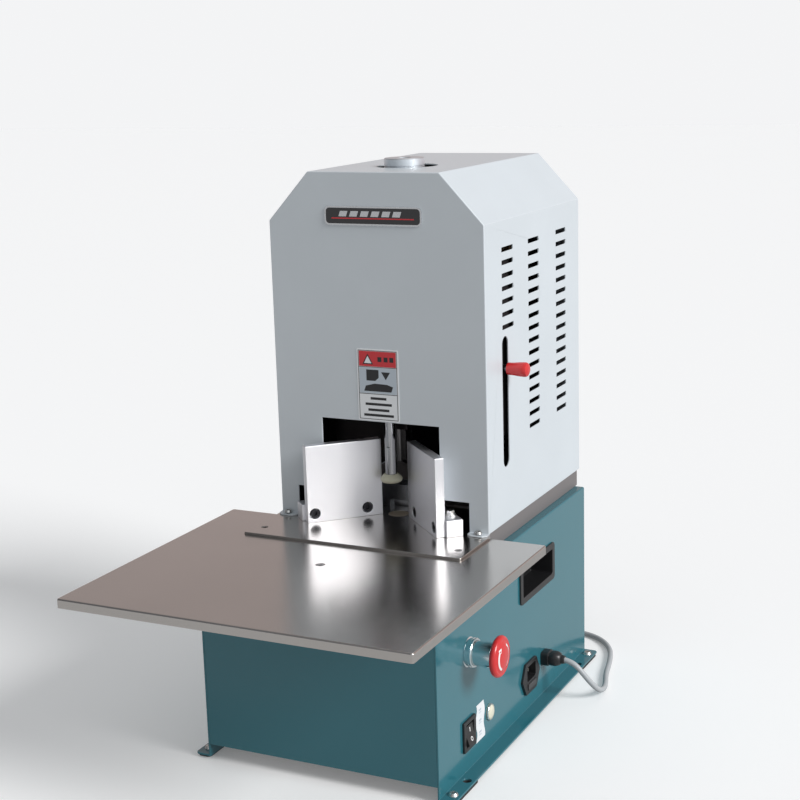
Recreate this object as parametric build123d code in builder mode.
from build123d import *
import os
from math import pi, radians, sqrt, tan

# Bench-top electric corner rounder for paper, card and book blocks.
# Millimetres. +X is the operator's right, +Y goes from the operator to the back, +Z is up.
# The origin is on the bench, at the centre of the four bench holes.

os.makedirs("parts", exist_ok=True)

# ---------------------------------------------------------------- driving dimensions
base_half_x = 129.2
base_half_y = 207
base_top = 203.2
base_sheet = 2
front_panel_bottom = 16.6
flange_x = 145.2
deck_flange_x = 105

deck_half_x = 118.8
deck_back_y = 212
deck_low = 216.5
deck_top = 221.8

table_half_x = 181.7
table_front_y = -362.8
table_sheet = 1.5
table_lip = 9
plate_half_x = 122
plate_neck_x = 97
plate_front_y = -130
plate_back_y = 28
plate_top = 220.5
plate_gap = 0.4
table_screw_y = -189
anvil_y = -15
anvil_radius = 11

cover_half_x = 120
cover_front_y = -53.7
cover_back_y = 216.5
cover_sheet = 1.5
cover_shoulder = 533.4
cover_top = 583.7
cover_top_half_x = 73.2
notch_half_x = 67
notch_top = 329
notch_wide_x = 98.5
notch_wide_top = 252.7

apex_y = -7
fence_inner_x = 15
fence_outer_x = 73.7
fence_thickness = 10
fence_height = 82.5

stroke = 56
crank_radius = stroke / 2
crank_z = 414
ram_y = -12
ram_thickness = 14
roller_radius = 8
post_x = 50
post_radius = 8
frame_x = 104
frame_plate = 10
lower_bridge_z = 331
upper_bridge_z = 482
bridge_thickness = 12

presser_y = -30
presser_radius = 6
foot_z = 259.5
foot_seat = 5
lever_y = -4
lever_z = 383

motor_y = 22
roof_hole_y = 29
knob_radius = 21

cord_diameter = 6
cord_floor_z = 3.1
coil_x = 20
coil_y = 300
coil_mean_radius = 33
coil_half_width = 9

run_fit = 0.05


def save(piece, name):
    """Label one finished piece and write it to its own file."""
    piece.part.label = name
    export_step(piece.part, f"parts/{name}.step")


def side_plane(x):
    """A plane facing +X whose local x runs along Y and local y along Z."""
    return Plane.YZ.offset(x)


# ---------------------------------------------------------------- base housing
handle_y = 53.5
handle_z = 148
handle_length = 101
handle_height = 42
estop_y = -134
estop_z = 125.5
inlet_y = 28
inlet_z = 40.5
plug_y = 70
plug_z = 43
rocker_y = -136.5
rocker_z = 43
lamp_y = -83
lamp_z = 44
label_y = -107
label_z = 43.5
bench_hole_x = 137.4
bench_hole_y = 160
bench_hole_radius = 4.5
foot_screw_y = 193
pad_thickness = 3


def base_side(right):
    """One bent side panel: foot flange outward, wall, deck flange inward."""
    with BuildPart() as panel:
        with BuildSketch(Plane.XZ.offset(-base_half_y)) as section:
            with Locations(((base_half_x + flange_x) / 2 - 1, pad_thickness + 1)):
                Rectangle(flange_x - base_half_x + 2, base_sheet)
            with Locations((base_half_x - 1, (pad_thickness + base_top) / 2)):
                Rectangle(base_sheet, base_top - pad_thickness)
            with Locations(((deck_flange_x + base_half_x) / 2, base_top - 1)):
                Rectangle(base_half_x - deck_flange_x, base_sheet)
        extrude(amount=2 * base_half_y)
        outer_bend = panel.edges().filter_by(Axis.Y).group_by(Axis.Z)[-1].sort_by(Axis.X)[-1]
        fillet(outer_bend, 1.8)
        flange_corners = panel.edges().filter_by(Axis.Z).sort_by(Axis.X)[-2:]
        fillet(flange_corners, 4)
        with BuildSketch(Plane.XY) as holes:
            with Locations((bench_hole_x, -bench_hole_y), (bench_hole_x, bench_hole_y)):
                Circle(bench_hole_radius)
            with Locations((bench_hole_x, -foot_screw_y), (bench_hole_x, foot_screw_y)):
                Circle(2.6)
        extrude(amount=10, mode=Mode.SUBTRACT)
        with BuildSketch(side_plane(base_half_x - 5)) as openings:
            with Locations((handle_y, handle_z)):
                RectangleRounded(handle_length - 8, handle_height - 8, 3)
            if right:
                with Locations((estop_y, estop_z)):
                    Circle(11.2)
                with Locations((inlet_y, inlet_z)):
                    Rectangle(28, 31)
                with Locations((plug_y, plug_z)):
                    Rectangle(12, 11)
                with Locations((rocker_y, rocker_z)):
                    Rectangle(22, 27)
                with Locations((lamp_y, lamp_z)):
                    Circle(6.2)
        extrude(amount=10, mode=Mode.SUBTRACT)
    if right:
        return panel
    with BuildPart() as mirrored:
        add(panel.part.mirror(Plane.YZ))
    return mirrored


save(base_side(True), "base_side_right")
save(base_side(False), "base_side_left")

inner_x = base_half_x - base_sheet - 0.1


def base_end(y_outer, facing):
    """Front or rear base panel, a flat sheet with a folded edge behind each side."""
    with BuildPart() as panel:
        with BuildSketch(Plane.XY.offset(front_panel_bottom)) as section:
            with Locations((0, y_outer + facing * base_sheet / 2)):
                Rectangle(2 * inner_x, base_sheet)
            with Locations((inner_x - 1, y_outer + facing * 8), (1 - inner_x, y_outer + facing * 8)):
                Rectangle(base_sheet, 16)
        extrude(amount=base_top - base_sheet - 0.2 - front_panel_bottom)
    return panel


save(base_end(-base_half_y, 1), "base_front")

with BuildPart() as base_rear:
    add(base_end(base_half_y, -1).part)
    with BuildSketch(Plane.XZ.offset(-base_half_y - 1)) as louvres:
        with GridLocations(60, 12, 3, 5):
            with Locations((0, 110)):
                SlotOverall(44, 4)
    extrude(amount=4, mode=Mode.SUBTRACT)
save(base_rear, "base_rear")

with BuildPart() as base_floor:
    with BuildSketch(Plane.XY.offset(front_panel_bottom)) as pan:
        Rectangle(2 * inner_x - 5, 2 * (base_half_y - base_sheet) - 1)
    extrude(amount=base_sheet)
    with BuildSketch(Plane.XY.offset(front_panel_bottom)) as upstands:
        with Locations((inner_x - 3.5, 0), (3.5 - inner_x, 0)):
            Rectangle(2, 2 * base_half_y - 40)
    extrude(amount=7)
save(base_floor, "base_floor")

with BuildPart() as rubber_pads:
    with BuildSketch(Plane.XY) as pads:
        with GridLocations(2 * bench_hole_x, 2 * (bench_hole_y + 16), 2, 2):
            RectangleRounded(15, 56, 4)
        with GridLocations(2 * bench_hole_x, 2 * bench_hole_y, 2, 2):
            Circle(bench_hole_radius, mode=Mode.SUBTRACT)
        with GridLocations(2 * bench_hole_x, 2 * foot_screw_y, 2, 2):
            Circle(2.3, mode=Mode.SUBTRACT)
    extrude(amount=pad_thickness)
save(rubber_pads, "rubber_pads")

with BuildPart() as foot_screws:
    with BuildSketch(Plane.XY.offset(0.5)) as shanks:
        with GridLocations(2 * bench_hole_x, 2 * foot_screw_y, 2, 2):
            Circle(2.2)
    extrude(amount=pad_thickness + base_sheet)
    with BuildSketch(Plane.XY.offset(pad_thickness + base_sheet)) as heads:
        with GridLocations(2 * bench_hole_x, 2 * foot_screw_y, 2, 2):
            Circle(5)
    extrude(amount=3)
    fillet(foot_screws.faces().group_by(Axis.Z)[-1].edges(), 1.4)
save(foot_screws, "foot_screws")

with BuildPart() as carry_handles:
    with BuildSketch(side_plane(base_half_x)) as bezel:
        with Locations((handle_y, handle_z)):
            RectangleRounded(handle_length, handle_height, 5)
    extrude(amount=2)
    with BuildSketch(side_plane(base_half_x)) as cup_outside:
        with Locations((handle_y, handle_z)):
            RectangleRounded(handle_length - 10, handle_height - 10, 2.5)
    extrude(amount=-26)
    with BuildSketch(side_plane(base_half_x + 2)) as cup_inside:
        with Locations((handle_y, handle_z)):
            RectangleRounded(handle_length - 14, handle_height - 14, 2)
    extrude(amount=-26, mode=Mode.SUBTRACT)
    mirror(about=Plane.YZ)
save(carry_handles, "carry_handles")

# ---------------------------------------------------------------- deck, table and die plate
raised_front_y = cover_front_y + 1.8
table_back_y = cover_front_y - 0.8
table_depth = table_back_y - table_front_y

with BuildPart() as deck_plate:
    with BuildSketch(Plane.XY.offset(base_top)) as slab:
        with Locations((0, (deck_back_y - base_half_y + 1) / 2)):
            Rectangle(2 * deck_half_x, deck_back_y + base_half_y - 1)
    extrude(amount=deck_low - base_top)
    with BuildSketch(Plane.XY.offset(deck_low)) as raised:
        with Locations((0, (deck_back_y + raised_front_y) / 2)):
            Rectangle(2 * deck_half_x, deck_back_y - raised_front_y)
        with Locations((0, (plate_back_y + plate_gap + table_back_y) / 2)):
            Rectangle(2 * (plate_neck_x + plate_gap), plate_back_y + plate_gap - table_back_y, mode=Mode.SUBTRACT)
    extrude(amount=deck_top - deck_low)
save(deck_plate, "deck_plate")

with BuildPart() as table:
    with BuildSketch(Plane.XY.offset(deck_low + table_sheet - table_lip)) as tray:
        with Locations((0, table_front_y + table_depth / 2)):
            RectangleRounded(2 * table_half_x, table_depth, 2.5)
    extrude(amount=table_lip)
    top_edges = table.faces().sort_by(Axis.Z)[-1].edges()
    fillet(top_edges, 1.6)
    with BuildSketch(Plane.XY.offset(deck_low + table_sheet - table_lip)) as hollow:
        with Locations((0, table_front_y + table_depth / 2)):
            Rectangle(2 * (table_half_x - table_sheet), table_depth - 2 * table_sheet)
    extrude(amount=table_lip - table_sheet, mode=Mode.SUBTRACT)
    with BuildSketch(Plane.XY.offset(deck_low - table_lip)) as plate_cutout:
        with Locations((0, (plate_front_y - plate_gap) / 2)):
            Rectangle(2 * (plate_half_x + plate_gap), plate_gap - plate_front_y)
    extrude(amount=2 * table_lip, mode=Mode.SUBTRACT)
    with Locations((0, table_screw_y, deck_low + table_sheet)):
        CounterSinkHole(2.6, 4.9, depth=table_sheet, counter_sink_angle=90)
save(table, "table")

plate_screw_spots = ((-110, -108), (110, -108))

with BuildPart() as die_plate:
    with BuildSketch(Plane.XY.offset(deck_low)) as outline:
        with Locations((0, (plate_front_y + cover_front_y - 0.6) / 2)):
            RectangleRounded(2 * plate_half_x, cover_front_y - 0.6 - plate_front_y, 2)
        with Locations((0, (cover_front_y - 10 + plate_back_y) / 2)):
            Rectangle(2 * plate_neck_x, plate_back_y - cover_front_y + 10)
    extrude(amount=plate_top - deck_low)
    with Locations(*[(x, y, plate_top) for x, y in plate_screw_spots]):
        CounterSinkHole(2.2, 4, depth=4, counter_sink_angle=90)
    with Locations((0, anvil_y, plate_top)):
        Hole(anvil_radius + run_fit, depth=10)
save(die_plate, "die_plate")

with BuildPart() as table_screws:
    for x, y in plate_screw_spots:
        with BuildSketch(Plane.XZ.offset(-y)) as screw:
            with BuildLine() as half:
                Polyline((x, plate_top), (x + 3.9, plate_top), (x + 2.1, plate_top - 1.9),
                         (x + 2.1, deck_low), (x, deck_low), close=True)
            make_face()
        revolve(axis=Axis((x, y, 0), (0, 0, 1)))
    with BuildSketch(Plane.XZ.offset(-table_screw_y)) as table_screw:
        with BuildLine() as table_half:
            Polyline((0, deck_low + 1.4), (4.6, deck_low + 1.4), (3.3, deck_low + 0.1),
                     (0, deck_low + 0.1), close=True)
        make_face()
    revolve(axis=Axis((0, table_screw_y, 0), (0, 0, 1)))
save(table_screws, "table_screws")

with BuildPart() as anvil_pad:
    with BuildSketch(Plane.XY.offset(deck_low)) as disc:
        with Locations((0, anvil_y)):
            Circle(anvil_radius)
    extrude(amount=plate_top - deck_low)
    chamfer(anvil_pad.faces().sort_by(Axis.Z)[-1].edges(), 0.4)
save(anvil_pad, "anvil_pad")

with BuildPart() as die_block:
    with BuildSketch(Plane.XY.offset(plate_top)) as block:
        with Locations((0, 16)):
            Rectangle(60, 20)
    extrude(amount=26)
    with BuildSketch(Plane.XY.offset(plate_top)) as chip_notch:
        with Locations((0, 6)):
            Rectangle(40, 12)
    extrude(amount=8, mode=Mode.SUBTRACT)
    chamfer(die_block.faces().sort_by(Axis.Z)[-1].edges(), 0.8)
save(die_block, "die_block")

# ---------------------------------------------------------------- side fences
fence_screw_rise = 9.3
fence_screw_xs = (27, 68)
bracket_depth = 18
head_depth = 6.2
screw_radius = 2.9
bracket_height = 17.5
bracket_start_x = 24
bracket_end_x = 76


def fence_quad(side, x0, x1, depth0, depth1):
    """The four plan corners of a bar behind a fence line, from one depth to another."""
    corners = []
    for x, depth in ((x0, depth0), (x1, depth0), (x1, depth1), (x0, depth1)):
        shift = depth / sqrt(2)
        corners.append((side * (x + shift), apex_y - x + shift))
    return corners


def fence_face_plane(side, x, z):
    """A plane on the fence's front face, facing the operator."""
    return Plane(origin=(side * x, apex_y - x, z), x_dir=(side * 1, -1, 0), z_dir=(-side * 1, -1, 0))


def fence(side):
    """One upright side fence with two counterbored screw holes."""
    with BuildPart() as bar:
        with BuildSketch(Plane.XY.offset(plate_top)) as plan:
            with BuildLine() as edge:
                Polyline(*fence_quad(side, fence_inner_x, fence_outer_x, 0, fence_thickness), close=True)
            make_face()
        extrude(amount=fence_height)
        for x in fence_screw_xs:
            face = fence_face_plane(side, x, plate_top + fence_screw_rise)
            with BuildSketch(face) as bore:
                Circle(3.3)
            extrude(amount=-fence_thickness, mode=Mode.SUBTRACT)
            with BuildSketch(face) as counterbore:
                Circle(5.7)
            extrude(amount=-head_depth, mode=Mode.SUBTRACT)
        chamfer(bar.faces().sort_by(Axis.Z)[-1].edges(), 0.5)
    return bar


save(fence(-1), "fence_left")
save(fence(1), "fence_right")

with BuildPart() as fence_screws:
    for side in (-1, 1):
        for x in fence_screw_xs:
            face = fence_face_plane(side, x, plate_top + fence_screw_rise)
            with BuildSketch(face.offset(-head_depth)) as head:
                Circle(4.7)
            extrude(amount=head_depth - 0.6)
            with BuildSketch(face.offset(-0.6)) as socket:
                RegularPolygon(2.6, 6)
            extrude(amount=-3, mode=Mode.SUBTRACT)
            with BuildSketch(face.offset(-head_depth)) as shank:
                Circle(screw_radius)
            extrude(amount=-14)
save(fence_screws, "fence_screws")

with BuildPart() as fence_brackets:
    for side in (-1, 1):
        with BuildSketch(Plane.XY.offset(plate_top)) as plan:
            with BuildLine() as edge:
                Polyline(*fence_quad(side, bracket_start_x, bracket_end_x, fence_thickness,
                                     fence_thickness + bracket_depth), close=True)
            make_face()
        extrude(amount=bracket_height)
    chamfer(fence_brackets.faces().filter_by(Axis.Z).sort_by(Axis.Z)[-2:].edges(), 0.6)
    for side in (-1, 1):
        for x in fence_screw_xs:
            face = fence_face_plane(side, x, plate_top + fence_screw_rise)
            with BuildSketch(face.offset(-fence_thickness)) as thread:
                Circle(screw_radius + 0.1)
            extrude(amount=-10.5, mode=Mode.SUBTRACT)
save(fence_brackets, "fence_brackets")

bracket_bolt_depth = fence_thickness + 12
bracket_bolt_xs = (38, 62)
washer_thickness = 1.2

with BuildPart() as bracket_bolts:
    for side in (-1, 1):
        for x in bracket_bolt_xs:
            shift = bracket_bolt_depth / sqrt(2)
            spot = (side * (x + shift), apex_y - x + shift)
            with BuildSketch(Plane.XY.offset(plate_top + bracket_height)) as washer:
                with Locations(spot):
                    Circle(5.8)
            extrude(amount=washer_thickness)
            with BuildSketch(Plane.XY.offset(plate_top + bracket_height + washer_thickness)) as bolt_head:
                with Locations(spot):
                    RegularPolygon(4, 6, major_radius=False)
            extrude(amount=4)
save(bracket_bolts, "bracket_bolts")

# ---------------------------------------------------------------- cover
tab_depth = 10
flange_width = 13
vent_length = 30.5
vent_height = 4.8
vent_pitch = 13.1
vent_top_z = 504
vent_columns = ((5, 7), (77, 16), (159, 16))
lever_slot_low = 280
lever_slot_high = 416
lever_slot_width = 16
roof_hole_radius = 32
tab_screw_x = 110


def gable(inset):
    """The cover's end outline, a rectangle with two wide top chamfers, set in from outside."""
    slope = (cover_top - cover_shoulder) / (cover_half_x - cover_top_half_x)
    corner = inset * (sqrt(1 + slope * slope) - 1) / slope
    rise = inset * (sqrt(1 + slope * slope) - slope)
    return [
        (-(cover_half_x - inset), deck_top),
        (-(cover_half_x - inset), cover_shoulder - rise),
        (-(cover_top_half_x - corner), cover_top - inset),
        (cover_top_half_x - corner, cover_top - inset),
        (cover_half_x - inset, cover_shoulder - rise),
        (cover_half_x - inset, deck_top),
    ]


with BuildPart() as cover_shell:
    with BuildSketch(Plane.XZ.offset(-cover_back_y)) as outside:
        with BuildLine() as outside_line:
            Polyline(*gable(0), close=True)
        make_face()
    extrude(amount=cover_back_y - cover_front_y)
    front_rim = cover_shell.faces().sort_by(Axis.Y)[0].edges().sort_by(Axis.Z)[1:]
    fillet(front_rim, 1.2)
    with BuildSketch(Plane.XZ.offset(-cover_back_y)) as inside:
        with BuildLine() as inside_line:
            Polyline(*gable(cover_sheet), close=True)
        make_face()
    extrude(amount=cover_back_y - cover_front_y - cover_sheet, mode=Mode.SUBTRACT)
    with BuildSketch(Plane.XY.offset(deck_top)) as foot_flange:
        with Locations((deck_half_x - flange_width / 2, 138), (flange_width / 2 - deck_half_x, 138)):
            Rectangle(flange_width, 140)
    extrude(amount=cover_sheet)
    with BuildSketch(Plane.XZ.offset(-cover_front_y + 5)) as notch:
        with Locations((0, (notch_wide_top + deck_top - 10) / 2)):
            Rectangle(2 * notch_wide_x, notch_wide_top - deck_top + 10)
        with Locations((0, (notch_top + deck_top) / 2)):
            Rectangle(2 * notch_half_x, notch_top - deck_top)
    extrude(amount=-10, mode=Mode.SUBTRACT)
    with BuildSketch(Plane.XY.offset(cover_top + 1)) as roof_hole:
        with Locations((0, roof_hole_y)):
            Circle(roof_hole_radius)
    extrude(amount=-4, mode=Mode.SUBTRACT)
    with BuildSketch(side_plane(-cover_half_x - 5)) as vents:
        for y, count in vent_columns:
            with Locations(*[(y, vent_top_z - i * vent_pitch) for i in range(count)]):
                RectangleRounded(vent_length, vent_height, 0.9)
    extrude(amount=2 * cover_half_x + 10, mode=Mode.SUBTRACT)
    with BuildSketch(side_plane(cover_half_x - 5)) as lever_slot:
        with Locations((lever_y, (lever_slot_low + lever_slot_high) / 2)):
            SlotOverall(lever_slot_high - lever_slot_low, lever_slot_width, rotation=90)
    extrude(amount=10, mode=Mode.SUBTRACT)
    with BuildSketch(Plane.XY.offset(plate_top + 0.1)) as tabs:
        tab_mid = (cover_half_x + notch_wide_x) / 2
        with Locations((tab_mid, cover_front_y - tab_depth / 2 + 0.75),
                       (-tab_mid, cover_front_y - tab_depth / 2 + 0.75)):
            Rectangle(cover_half_x - notch_wide_x, tab_depth + 1.5)
    extrude(amount=cover_sheet)
    tab_corners = cover_shell.edges().filter_by(Axis.Z).group_by(Axis.Y)[0]
    chamfer(tab_corners, 4)
    with BuildSketch(Plane.XY.offset(plate_top)) as tab_holes:
        with Locations((tab_screw_x, cover_front_y - 5), (-tab_screw_x, cover_front_y - 5)):
            Circle(2.3)
    extrude(amount=3, mode=Mode.SUBTRACT)
save(cover_shell, "cover_shell")

back_face_y = cover_back_y - 1
back_screw_spots = [(side * 106, z) for side in (-1, 1) for z in (245, 370, 495)]

with BuildPart() as cover_back:
    with BuildSketch(Plane.XZ.offset(-back_face_y)) as panel:
        with BuildLine() as panel_line:
            Polyline(*gable(cover_sheet + 0.3), close=True)
        make_face()
    extrude(amount=cover_sheet)
    with BuildSketch(Plane.XZ.offset(-cover_back_y)) as back_openings:
        with Locations(*back_screw_spots):
            Circle(2.2)
        with GridLocations(52, 14, 3, 5):
            with Locations((0, 440)):
                SlotOverall(40, 4)
    extrude(amount=6, mode=Mode.SUBTRACT)
save(cover_back, "cover_back")

with BuildPart() as cover_screws:
    for side in (-1, 1):
        spot = (side * tab_screw_x, cover_front_y - 5)
        with BuildSketch(Plane.XY.offset(plate_top + 0.1 + cover_sheet)) as pan_head:
            with Locations(spot):
                Circle(4.2)
        extrude(amount=2.6)
        with BuildSketch(Plane.XY.offset(plate_top + 0.05)) as pan_shank:
            with Locations(spot):
                Circle(2)
        extrude(amount=cover_sheet + 0.1)
    fillet(cover_screws.faces().filter_by(Axis.Z).sort_by(Axis.Z)[-2:].edges(), 1.5)
    with BuildSketch(Plane.XZ.offset(-back_face_y - 2.4)) as back_heads:
        with Locations(*back_screw_spots):
            Circle(4.2)
    extrude(amount=2.4)
    with BuildSketch(Plane.XZ.offset(-back_face_y)) as back_shanks:
        with Locations(*back_screw_spots):
            Circle(2)
    extrude(amount=6)
save(cover_screws, "cover_screws")

with BuildPart() as warning_label:
    with BuildSketch(Plane.XZ.offset(-cover_front_y)) as sticker:
        with Locations((0, 367.5)):
            RectangleRounded(47, 75, 1.5)
    extrude(amount=0.4)
save(warning_label, "warning_label")

with BuildPart() as nameplate:
    with BuildSketch(Plane.XZ.offset(-cover_front_y)) as badge:
        with Locations((0, 540)):
            RectangleRounded(108, 19, 5)
    extrude(amount=1.6)
    chamfer(nameplate.faces().sort_by(Axis.Y)[0].edges(), 0.5)
save(nameplate, "nameplate")

# ---------------------------------------------------------------- inner frame
frame_front_y = -30
frame_back_y = 62
frame_foot_z = deck_top
frame_head_z = upper_bridge_z + bridge_thickness


def frame_side(right):
    """One thick upright side plate that carries both bridges."""
    with BuildPart() as plate:
        with BuildSketch(side_plane(frame_x)) as outline:
            with Locations(((frame_front_y + frame_back_y) / 2, (frame_foot_z + frame_head_z) / 2)):
                Rectangle(frame_back_y - frame_front_y, frame_head_z - frame_foot_z)
            with Locations((20, 280)):
                RectangleRounded(50, 60, 8, mode=Mode.SUBTRACT)
            if right:
                with Locations((lever_y, lever_z - 2)):
                    SlotOverall(80, 13, rotation=90, mode=Mode.SUBTRACT)
        extrude(amount=frame_plate)
    if right:
        return plate
    with BuildPart() as mirrored:
        add(plate.part.mirror(Plane.YZ))
    return mirrored


save(frame_side(True), "frame_side_right")
save(frame_side(False), "frame_side_left")

stem_half_x = 14
stem_front_y = -17
stem_back_y = -5
bridge_nose_y = -38.5

with BuildPart() as lower_bridge:
    with BuildSketch(Plane.XY.offset(lower_bridge_z)) as bridge:
        with Locations((0, (frame_front_y + 56) / 2)):
            Rectangle(2 * frame_x, 56 - frame_front_y)
        with Locations((0, (bridge_nose_y + frame_front_y) / 2)):
            Rectangle(34, frame_front_y - bridge_nose_y)
        with Locations((0, (stem_front_y + stem_back_y) / 2)):
            Rectangle(2 * stem_half_x + 2, stem_back_y - stem_front_y + 2, mode=Mode.SUBTRACT)
        with Locations((0, presser_y)):
            Circle(8, mode=Mode.SUBTRACT)
        with Locations((post_x, ram_y), (-post_x, ram_y)):
            Circle(post_radius, mode=Mode.SUBTRACT)
    extrude(amount=bridge_thickness)
save(lower_bridge, "lower_bridge")

with BuildPart() as upper_bridge:
    with BuildSketch(Plane.XY.offset(upper_bridge_z)) as bridge:
        with Locations((0, 16)):
            Rectangle(2 * frame_x, 92)
        with Locations((0, motor_y)):
            Circle(16, mode=Mode.SUBTRACT)
        with Locations((post_x, ram_y), (-post_x, ram_y)):
            Circle(post_radius, mode=Mode.SUBTRACT)
    extrude(amount=bridge_thickness)
save(upper_bridge, "upper_bridge")

with BuildPart() as guide_posts:
    with BuildSketch(Plane.XY.offset(lower_bridge_z)) as posts:
        with Locations((post_x, ram_y), (-post_x, ram_y)):
            Circle(post_radius)
    extrude(amount=upper_bridge_z + bridge_thickness - lower_bridge_z)
save(guide_posts, "guide_posts")

# ---------------------------------------------------------------- ram, knife and crank
slot_z = crank_z + crank_radius
ram_bottom = 408
ram_top = 476
coupling_slack = 6
slot_half_height = roller_radius + coupling_slack + 0.3
slot_half_length = crank_radius + roller_radius + 1.2

with BuildPart() as ram_yoke:
    with BuildSketch(Plane.XZ.offset(-ram_y)) as plate:
        with Locations((0, (ram_bottom + ram_top) / 2)):
            Rectangle(124, ram_top - ram_bottom)
    extrude(amount=ram_thickness / 2, both=True)
    with BuildSketch(Plane.XY.offset(ram_bottom)) as bosses:
        with Locations((post_x, ram_y), (-post_x, ram_y)):
            RectangleRounded(24, 28, 4)
    extrude(amount=ram_top - ram_bottom)
    with BuildSketch(Plane.XZ.offset(-ram_y)) as slot:
        with Locations((0, slot_z)):
            RectangleRounded(2 * slot_half_length, 2 * slot_half_height, slot_half_height - 0.1)
    extrude(amount=20, both=True, mode=Mode.SUBTRACT)
    with BuildSketch(Plane.XY.offset(ram_bottom - 1)) as bores:
        with Locations((post_x, ram_y), (-post_x, ram_y)):
            Circle(10)
    extrude(amount=100, mode=Mode.SUBTRACT)
save(ram_yoke, "ram_yoke")

with BuildPart() as ram_bushes:
    with BuildSketch(Plane.XY.offset(ram_bottom)) as rings:
        with Locations((post_x, ram_y), (-post_x, ram_y)):
            Circle(10)
            Circle(post_radius + run_fit, mode=Mode.SUBTRACT)
    extrude(amount=ram_top - ram_bottom)
save(ram_bushes, "ram_bushes")

knife_edge_z = plate_top + stroke + 0.5
knife_top_z = knife_edge_z + 36
arc_radius = 10
tangent = arc_radius / sqrt(2)
arc_centre_y = apex_y - arc_radius * sqrt(2)

with BuildPart() as knife_holder:
    with BuildSketch(Plane.XY.offset(knife_top_z)) as stem:
        with Locations((0, (stem_front_y + stem_back_y) / 2)):
            Rectangle(2 * stem_half_x, stem_back_y - stem_front_y)
    extrude(amount=ram_bottom - knife_top_z)
    chamfer(knife_holder.edges().filter_by(Axis.Z), 1)
save(knife_holder, "knife_holder")

with BuildPart() as knife:
    with BuildSketch(Plane.XY.offset(knife_edge_z)) as blade:
        with BuildLine() as blade_line:
            ThreePointArc((-tangent, arc_centre_y + tangent), (0, arc_centre_y + arc_radius),
                          (tangent, arc_centre_y + tangent))
            Polyline((tangent, arc_centre_y + tangent), (12.5, -19), (12.5, -2), (-12.5, -2),
                     (-12.5, -19), (-tangent, arc_centre_y + tangent))
        make_face()
    extrude(amount=knife_top_z - knife_edge_z)
    chamfer(knife.faces().sort_by(Axis.Z)[0].edges().sort_by(Axis.Y)[-1:], 6)
save(knife, "knife")

disc_front_y = -3.5
disc_back_y = 5.5

with BuildPart() as crank_disc:
    with BuildSketch(Plane.XZ.offset(-disc_front_y)) as disc:
        with Locations((0, crank_z)):
            Circle(crank_radius + 7)
    extrude(amount=disc_front_y - disc_back_y)
    with BuildSketch(Plane.XZ.offset(-disc_back_y)) as shaft:
        with Locations((0, crank_z)):
            Circle(10)
    extrude(amount=-14)
    with BuildSketch(Plane.XZ.offset(-disc_front_y)) as crank_pin:
        with Locations((0, slot_z)):
            Circle(4)
    extrude(amount=15)
save(crank_disc, "crank_disc")

with BuildPart() as crank_roller:
    with BuildSketch(Plane.XZ.offset(-disc_front_y + 1)) as roller:
        with Locations((0, slot_z)):
            Circle(roller_radius)
            Circle(4.05, mode=Mode.SUBTRACT)
    extrude(amount=13)
save(crank_roller, "crank_roller")

# ---------------------------------------------------------------- gear motor and hand knob
gearbox_front_y = 7
gearbox_back_y = 51

with BuildPart() as gearbox:
    with BuildSketch(Plane.XZ.offset(-gearbox_back_y)) as housing:
        with Locations((0, (crank_z - 36 + upper_bridge_z) / 2)):
            RectangleRounded(72, upper_bridge_z - crank_z + 36, 8)
    extrude(amount=gearbox_back_y - gearbox_front_y)
    with BuildSketch(Plane.XZ.offset(-gearbox_front_y + 1)) as shaft_bore:
        with Locations((0, crank_z)):
            Circle(10 + run_fit)
    extrude(amount=-20, mode=Mode.SUBTRACT)
    with BuildSketch(Plane.XY.offset(upper_bridge_z + 1)) as motor_bore:
        with Locations((0, motor_y)):
            Circle(7)
    extrude(amount=-26, mode=Mode.SUBTRACT)
save(gearbox, "gearbox")

motor_bottom = upper_bridge_z + bridge_thickness
motor_top = 564
motor_radius = 47

with BuildPart() as motor:
    with BuildSketch(Plane.XY.offset(motor_bottom)) as can:
        with Locations((0, motor_y)):
            Circle(motor_radius)
    extrude(amount=motor_top - motor_bottom)
    fillet(motor.faces().sort_by(Axis.Z)[-1].edges(), 4)
    with BuildSketch(Plane.XY.offset(motor_bottom - 1)) as through:
        with Locations((0, motor_y)):
            Circle(6 + run_fit)
    extrude(amount=100, mode=Mode.SUBTRACT)
save(motor, "motor")

knob_bottom = 567
knob_top = 592.5

with BuildPart() as motor_shaft:
    with BuildSketch(Plane.XY.offset(upper_bridge_z - 22)) as shaft:
        with Locations((0, motor_y)):
            Circle(6)
    extrude(amount=knob_top - 8 - upper_bridge_z + 22)
save(motor_shaft, "motor_shaft")

with BuildPart() as top_knob:
    with BuildSketch(Plane.XY.offset(knob_bottom)) as grip:
        with Locations((0, motor_y)):
            Circle(knob_radius)
    extrude(amount=knob_top - knob_bottom)
    chamfer(top_knob.faces().sort_by(Axis.Z)[-1].edges(), 0.8)
    with BuildSketch(Plane.XY.offset(knob_bottom)) as socket:
        with Locations((0, motor_y)):
            Circle(6)
    extrude(amount=knob_top - 8 - knob_bottom, mode=Mode.SUBTRACT)
save(top_knob, "top_knob")

capacitor_bottom = 432
capacitor_x = 56
capacitor_y = 178
capacitor_radius = 17
electrics_front_y = 199
electrics_half_x = 90
electrics_top = 490

with BuildPart() as motor_capacitor:
    with BuildSketch(Plane.XY.offset(capacitor_bottom)) as can:
        with Locations((capacitor_x, capacitor_y)):
            Circle(capacitor_radius)
    extrude(amount=56)
    fillet(motor_capacitor.faces().sort_by(Axis.Z)[-1].edges(), 3)
    with BuildSketch(Plane.XY.offset(capacitor_bottom)) as strap:
        with Locations((capacitor_x, electrics_front_y - 3)):
            Rectangle(20, 6)
    extrude(amount=40)
save(motor_capacitor, "motor_capacitor")

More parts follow.
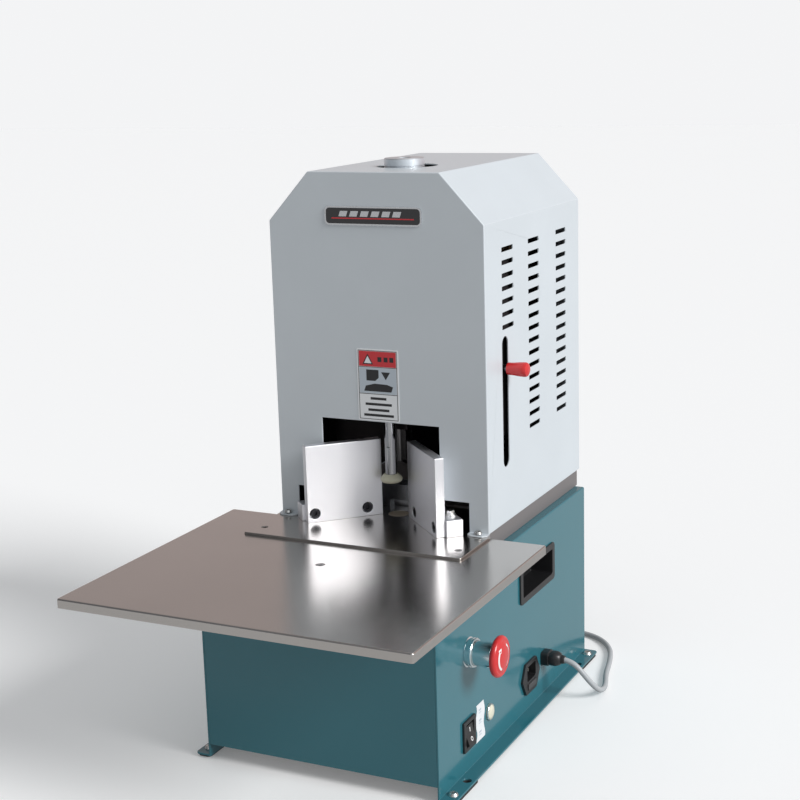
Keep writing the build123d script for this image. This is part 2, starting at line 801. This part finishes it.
with BuildPart() as electrics_plate:
    with BuildSketch(Plane.XZ.offset(-electrics_front_y - 2)) as plate:
        with Locations((0, (deck_top + electrics_top) / 2)):
            Rectangle(2 * electrics_half_x, electrics_top - deck_top)
    extrude(amount=2)
    with BuildSketch(Plane.XY.offset(deck_top)) as foot:
        with Locations((0, electrics_front_y - 8)):
            Rectangle(2 * electrics_half_x, 20)
    extrude(amount=2)
save(electrics_plate, "electrics_plate")

# ---------------------------------------------------------------- presser
clamp_bottom = lever_z - 3.5
clamp_top = lever_z + 9.5

with BuildPart() as presser_rod:
    with BuildSketch(Plane.XY.offset(foot_z + foot_seat)) as rod:
        with Locations((0, presser_y)):
            Circle(presser_radius)
    extrude(amount=440 - foot_z - foot_seat)
    with BuildSketch(Plane.XY.offset(foot_z + 38)) as keyway:
        with Locations((0, presser_y - presser_radius)):
            Rectangle(3, 4)
    extrude(amount=140, mode=Mode.SUBTRACT)
    chamfer(presser_rod.faces().sort_by(Axis.Z)[-1].edges(), 1)
save(presser_rod, "presser_rod")

with BuildPart() as presser_foot:
    with BuildSketch(Plane.XZ.offset(-presser_y)) as half:
        with BuildLine() as profile:
            Polyline((0, foot_z + foot_seat), (0, foot_z), (8, foot_z))
            ThreePointArc((8, foot_z), (10.7, foot_z + 1.3), (11.6, foot_z + 4))
            Polyline((11.6, foot_z + 4), (11, foot_z + 5.2), (7.4, foot_z + 9), (presser_radius, foot_z + 9),
                     (presser_radius, foot_z + foot_seat), (0, foot_z + foot_seat))
        make_face()
    revolve(axis=Axis((0, presser_y, 0), (0, 0, 1)))
save(presser_foot, "presser_foot")

with BuildPart() as presser_bush:
    with BuildSketch(Plane.XY.offset(lower_bridge_z - 3)) as ring:
        with Locations((0, presser_y)):
            Circle(8)
            Circle(presser_radius + run_fit, mode=Mode.SUBTRACT)
    extrude(amount=bridge_thickness + 3)
save(presser_bush, "presser_bush")

with BuildPart() as presser_arm:
    with BuildSketch(Plane.XY.offset(clamp_bottom)) as clamp:
        with Locations((0, -33.5)):
            Rectangle(26, 25)
        with Locations((57, -42)):
            Rectangle(90, 8)
        with Locations((97, -20)):
            Rectangle(10, 44)
    extrude(amount=clamp_top - clamp_bottom)
    with BuildSketch(Plane.XY.offset(clamp_bottom - 1)) as bore:
        with Locations((0, presser_y)):
            Circle(presser_radius)
    extrude(amount=30, mode=Mode.SUBTRACT)
    with BuildSketch(side_plane(101.5)) as stud:
        with Locations((lever_y, lever_z)):
            Circle(4)
    extrude(amount=30)
save(presser_arm, "presser_arm")

with BuildPart() as lever_knob:
    with BuildSketch(Plane.XY.offset(lever_z)) as half:
        with BuildLine() as profile:
            Polyline((122.5, lever_y + 4), (122.5, lever_y + 6), (137, lever_y + 7.5), (141, lever_y + 7.5))
            ThreePointArc((141, lever_y + 7.5), (144.2, lever_y + 6.2), (145.5, lever_y + 3))
            Polyline((145.5, lever_y + 3), (145.5, lever_y), (131.5, lever_y), (131.5, lever_y + 4), (122.5, lever_y + 4))
        make_face()
    revolve(axis=Axis((0, lever_y, lever_z), (1, 0, 0)))
save(lever_knob, "lever_knob")

# ---------------------------------------------------------------- controls on the right side
with BuildPart() as estop_body:
    with BuildSketch(side_plane(base_half_x)) as collar:
        with Locations((estop_y, estop_z)):
            Circle(15)
    extrude(amount=9)
    chamfer(estop_body.faces().sort_by(Axis.X)[-1].edges(), 1.5)
    with BuildSketch(side_plane(base_half_x)) as neck:
        with Locations((estop_y, estop_z)):
            Circle(11)
    extrude(amount=-14)
    with BuildSketch(side_plane(base_half_x - 14)) as contacts:
        with Locations((estop_y, estop_z)):
            Rectangle(32, 38)
    extrude(amount=-34)
    with BuildSketch(side_plane(base_half_x + 10)) as bore:
        with Locations((estop_y, estop_z)):
            Circle(7.4)
    extrude(amount=-26, mode=Mode.SUBTRACT)
save(estop_body, "estop_body")

with BuildPart() as estop_head:
    with BuildSketch(Plane.XY.offset(estop_z)) as half:
        with BuildLine() as profile:
            Polyline((base_half_x - 6, estop_y), (base_half_x - 6, estop_y + 7), (base_half_x + 15.5, estop_y + 7),
                     (base_half_x + 15.5, estop_y + 16), (base_half_x + 20, estop_y + 19.6))
            ThreePointArc((base_half_x + 20, estop_y + 19.6), (base_half_x + 26, estop_y + 19.2),
                          (base_half_x + 30, estop_y + 16))
            ThreePointArc((base_half_x + 30, estop_y + 16), (base_half_x + 35.6, estop_y + 10),
                          (base_half_x + 38, estop_y + 3))
            Polyline((base_half_x + 38, estop_y + 3), (base_half_x + 38, estop_y), (base_half_x - 6, estop_y))
        make_face()
    revolve(axis=Axis((0, estop_y, estop_z), (1, 0, 0)))
save(estop_head, "estop_head")

rocker_pivot_x = base_half_x - 3
rocker_pivot_radius = 2

with BuildPart() as rocker_bezel:
    with BuildSketch(side_plane(base_half_x)) as frame:
        with Locations((rocker_y, rocker_z)):
            RectangleRounded(29, 32, 1.5)
    extrude(amount=2.5)
    with BuildSketch(side_plane(base_half_x)) as body:
        with Locations((rocker_y, rocker_z)):
            Rectangle(21.5, 26.5)
    extrude(amount=-20)
    with BuildSketch(side_plane(base_half_x + 5)) as well:
        with Locations((rocker_y, rocker_z)):
            Rectangle(18.4, 24)
    extrude(amount=-16, mode=Mode.SUBTRACT)
    with BuildSketch(Plane.XZ.offset(-rocker_y)) as pivot_bore:
        with Locations((rocker_pivot_x, rocker_z)):
            Circle(rocker_pivot_radius + run_fit)
    extrude(amount=20, both=True, mode=Mode.SUBTRACT)
save(rocker_bezel, "rocker_bezel")

with BuildPart() as rocker:
    with BuildSketch(Plane.XZ.offset(-rocker_y)) as profile:
        with BuildLine() as edge:
            Polyline((base_half_x - 6, rocker_z - 7), (base_half_x - 0.5, rocker_z - 10.5),
                     (base_half_x + 5.6, rocker_z - 9.5), (base_half_x + 2.2, rocker_z),
                     (base_half_x + 1.2, rocker_z + 9.5), (base_half_x - 6, rocker_z + 7), close=True)
        make_face()
    extrude(amount=8.8, both=True)
    with BuildSketch(Plane.XZ.offset(-rocker_y)) as trunnions:
        with Locations((rocker_pivot_x, rocker_z)):
            Circle(rocker_pivot_radius)
    extrude(amount=10.6, both=True)
save(rocker, "rocker")

with BuildPart() as power_inlet:
    with BuildSketch(side_plane(base_half_x)) as flange:
        with BuildLine() as flange_line:
            Polyline((inlet_y - 25, inlet_z), (inlet_y - 15, inlet_z + 17.5), (inlet_y + 15, inlet_z + 17.5),
                     (inlet_y + 25, inlet_z), (inlet_y + 15, inlet_z - 17.5), (inlet_y - 15, inlet_z - 17.5),
                     close=True)
        make_face()
    extrude(amount=3)
    fillet(power_inlet.edges().filter_by(Axis.X), 2)
    with BuildSketch(side_plane(base_half_x)) as body:
        with Locations((inlet_y, inlet_z)):
            Rectangle(27.5, 30.5)
    extrude(amount=-26)
    with BuildSketch(side_plane(base_half_x + 4)) as socket:
        with Locations((inlet_y, inlet_z + 5)):
            RectangleRounded(24.5, 16.5, 2)
    extrude(amount=-20, mode=Mode.SUBTRACT)
    with BuildSketch(side_plane(base_half_x + 4)) as drawer_bay:
        with Locations((inlet_y, inlet_z - 9.4)):
            Rectangle(22.4, 7.4)
    extrude(amount=-24, mode=Mode.SUBTRACT)
    with BuildSketch(side_plane(base_half_x - 16.5)) as pins:
        with Locations((inlet_y - 7, inlet_z + 3.5), (inlet_y, inlet_z + 7.5), (inlet_y + 7, inlet_z + 3.5)):
            Rectangle(2, 4)
    extrude(amount=13)
save(power_inlet, "power_inlet")

with BuildPart() as fuse_drawer:
    with BuildSketch(side_plane(base_half_x + 4.2)) as front:
        with Locations((inlet_y, inlet_z - 9.4)):
            Rectangle(22, 7)
    extrude(amount=-22)
    chamfer(fuse_drawer.faces().sort_by(Axis.X)[-1].edges(), 0.5)
save(fuse_drawer, "fuse_drawer")

with BuildPart() as indicator_lamp:
    with BuildSketch(side_plane(base_half_x)) as lens:
        with Locations((lamp_y, lamp_z)):
            Circle(8.6)
    extrude(amount=6)
    fillet(indicator_lamp.faces().sort_by(Axis.X)[-1].edges(), 3)
    with BuildSketch(side_plane(base_half_x)) as lamp_neck:
        with Locations((lamp_y, lamp_z)):
            Circle(6)
    extrude(amount=-18)
save(indicator_lamp, "indicator_lamp")

with BuildPart() as switch_label:
    with BuildSketch(side_plane(base_half_x)) as sticker:
        with Locations((label_y, label_z)):
            RectangleRounded(24, 39, 3)
    extrude(amount=0.3)
save(switch_label, "switch_label")

plug_end_x = base_half_x + 21.8
relief_end_x = base_half_x + 28

with BuildPart() as pedal_plug:
    with BuildSketch(side_plane(base_half_x)) as body:
        with Locations((plug_y, plug_z)):
            RectangleRounded(17, 15.5, 2.5)
    extrude(amount=plug_end_x - base_half_x)
    fillet(pedal_plug.faces().sort_by(Axis.X)[-1].edges(), 1.5)
    with BuildSketch(side_plane(base_half_x)) as latch:
        with Locations((plug_y, plug_z)):
            Rectangle(11.5, 10.5)
    extrude(amount=-12)
    with BuildSketch(side_plane(plug_end_x - 1)) as relief:
        with Locations((plug_y, plug_z)):
            Circle(5.2)
    extrude(amount=relief_end_x - plug_end_x + 1, taper=5)
save(pedal_plug, "pedal_plug")

# ---------------------------------------------------------------- foot pedal and its lead
pedal_x = -91
pedal_y = 286
pedal_length = 102
pedal_width = 66
pedal_back_x = pedal_x - pedal_length / 2
gland_x = pedal_x + pedal_length / 2
hinge_x = pedal_back_x + 12
hinge_z = 22
gland_y = 264
gland_z = 10.5

with BuildPart() as pedal_base:
    with BuildSketch(Plane.XY) as sole:
        with Locations((pedal_x, pedal_y)):
            RectangleRounded(pedal_length, pedal_width, 6)
    extrude(amount=16)
    with BuildSketch(Plane.XZ.offset(-pedal_y)) as cheeks:
        with Locations((hinge_x, 20)):
            Rectangle(22, 16)
    extrude(amount=pedal_width / 2, both=True)
    with BuildSketch(Plane.XZ.offset(-pedal_y)) as treadle_gap:
        with Locations((hinge_x, 24.5)):
            Rectangle(30, 17)
    extrude(amount=pedal_width / 2 - 4, both=True, mode=Mode.SUBTRACT)
    with BuildSketch(Plane.XZ.offset(-pedal_y)) as pin_bore:
        with Locations((hinge_x, hinge_z)):
            Circle(3.05)
    extrude(amount=pedal_width, both=True, mode=Mode.SUBTRACT)
    fillet(pedal_base.faces().sort_by(Axis.Z)[0].edges(), 1)
    with BuildSketch(side_plane(gland_x - 1)) as gland:
        with Locations((gland_y, gland_z)):
            Circle(5)
    extrude(amount=9, taper=4)
save(pedal_base, "pedal_base")

with BuildPart() as pedal_treadle:
    tread_end_x = gland_x - 4
    with BuildSketch(Plane.XZ.offset(-pedal_y)) as side:
        with BuildLine() as edge:
            Polyline((hinge_x - 6, 18.5), (hinge_x + 8, 18.5), (tread_end_x, 31), (tread_end_x, 36),
                     (hinge_x + 6, 27), (hinge_x - 6, 27), close=True)
        make_face()
    extrude(amount=pedal_width / 2 - 4.4, both=True)
    fillet(pedal_treadle.edges().filter_by(Axis.Z), 1)
    with BuildSketch(Plane.XZ.offset(-pedal_y)) as pin:
        with Locations((hinge_x, hinge_z)):
            Circle(3)
    extrude(amount=pedal_width / 2 - 0.2, both=True)
save(pedal_treadle, "pedal_treadle")

lead_route = [
    (relief_end_x, plug_y, plug_z),
    (168, 70.3, 42),
    (178, 71.8, 36.5),
    (185.5, 76, 27.5),
    (189, 83.5, 17.5),
    (189, 94, 9),
    (187, 107.5, 3.8),
    (183, 124, cord_floor_z),
    (175, 148, cord_floor_z),
    (168, 184, cord_floor_z),
    (156, 224, cord_floor_z),
    (131, 253, cord_floor_z),
    (92, 263.5, cord_floor_z),
    (54, 262, cord_floor_z),
    (28, 261, cord_floor_z),
]
tail_route = [
    (12, coil_y - 39, 9),
    (-4, coil_y - 38.4, 9.2),
    (-20, coil_y - 37, 10),
    (gland_x + 8, gland_y, gland_z),
]


def lead_tube(points, name):
    """A round tube along straight runs joined by arcs as large as the runs allow."""
    vectors = [Vector(*p) for p in points]
    radii = []
    for before, here, after in zip(vectors, vectors[1:], vectors[2:]):
        turn = radians((here - before).get_angle(after - here))
        shorter = min((here - before).length, (after - here).length)
        radii.append(0.45 * shorter / tan(turn / 2))
    with BuildPart() as tube:
        with BuildLine() as path:
            FilletPolyline(*points, radius=radii)
        centre_line = path.wire()
        start = Plane(origin=centre_line @ 0, z_dir=centre_line % 0)
        with BuildSketch(start) as section:
            Circle(cord_diameter / 2)
        sweep(path=centre_line)
    expected = pi * (cord_diameter / 2) ** 2 * centre_line.length
    print(name, "length", round(centre_line.length, 1), "radii", [round(r, 1) for r in radii],
          "volume ratio", round(tube.part.volume / expected, 4))
    return tube


save(lead_tube(lead_route, "pedal_cord"), "pedal_cord")
save(lead_tube(tail_route, "pedal_cord_tail"), "pedal_cord_tail")

with BuildPart() as pedal_cord_coil:
    with BuildSketch(Plane.XY.offset(0.1)) as ring:
        with Locations((coil_x, coil_y)):
            Circle(coil_mean_radius + coil_half_width)
            Circle(coil_mean_radius - coil_half_width, mode=Mode.SUBTRACT)
    extrude(amount=2 * cord_diameter)
    fillet(pedal_cord_coil.edges(), 2.5)
save(pedal_cord_coil, "pedal_cord_coil")
